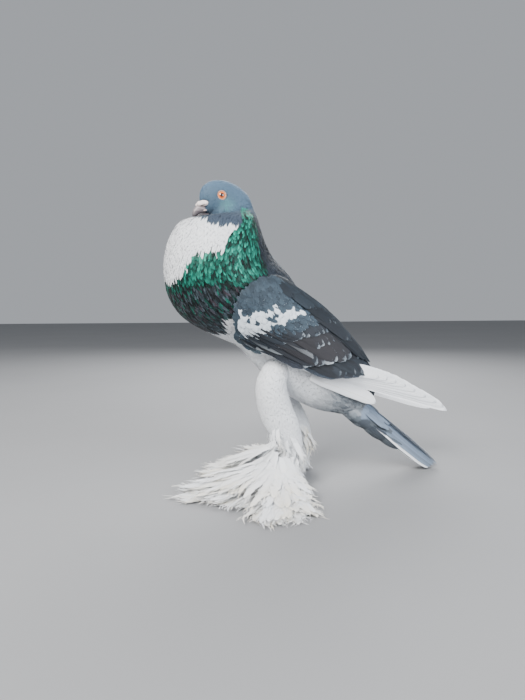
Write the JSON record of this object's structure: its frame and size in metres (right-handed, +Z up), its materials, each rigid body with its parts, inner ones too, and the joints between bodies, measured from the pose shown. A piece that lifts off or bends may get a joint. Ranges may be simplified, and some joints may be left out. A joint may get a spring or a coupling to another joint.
{
  "type": "pomeranian pouter pigeon",
  "caption": "Standing pouter pigeon with blown crop, folded wings, closed tail and long foot feathers spread on the floor, as a still museum model.",
  "frame": {"origin": "on the floor, under the centre of the bird's bounding box", "axes": "+Z up, -Y the way the body faces, +X the bird's left side"},
  "size_m": [0.3054, 0.3588, 0.3608],
  "materials": {
    "head_feathers": "soft blue-grey feathers",
    "neck_feathers": "dark slate feathers with a green sheen",
    "crop_feathers": "white bib over green-sheened slate feathers",
    "belly_feathers": "white down and body feathers",
    "tail_feathers": "slate-grey feathers with a dark band and white outer edges",
    "wing_feathers": "slate-black feathers with pale fringes and a white patch",
    "white_flight_feathers": "white flight feathers",
    "leg_feathers": "white leg feathers",
    "muff_feathers": "long creamy-white foot feathers",
    "foot_skin": "scaly red skin",
    "claw_horn": "satin horn",
    "eye": "wet orange eye with a dark pupil",
    "beak_horn": "grey horn",
    "cere_skin": "powdery white skin"
  },
  "bodies": {
    "root": {"cere": "cere_skin", "claw_left_hind": "claw_horn", "claw_left_inner": "claw_horn", "claw_left_middle": "claw_horn", "claw_left_outer": "claw_horn", "claw_right_hind": "claw_horn", "claw_right_inner": "claw_horn", "claw_right_middle": "claw_horn", "claw_right_outer": "claw_horn", "crop": "crop_feathers", "eye_left": "eye", "eye_right": "eye", "foot_left": "foot_skin", "foot_right": "foot_skin", "head": "head_feathers", "lower_beak": "beak_horn", "muff_front_left": "muff_feathers", "muff_front_right": "muff_feathers", "muff_side_left": "muff_feathers", "muff_side_right": "muff_feathers", "neck": "neck_feathers", "primaries_left": "white_flight_feathers", "primaries_right": "white_flight_feathers", "shank_left": "leg_feathers", "shank_right": "leg_feathers", "tail": "tail_feathers", "thigh_left": "leg_feathers", "thigh_right": "leg_feathers", "torso": "belly_feathers", "upper_beak": "beak_horn", "wing_left": "wing_feathers", "wing_right": "wing_feathers"}
  },
  "joints": []
}
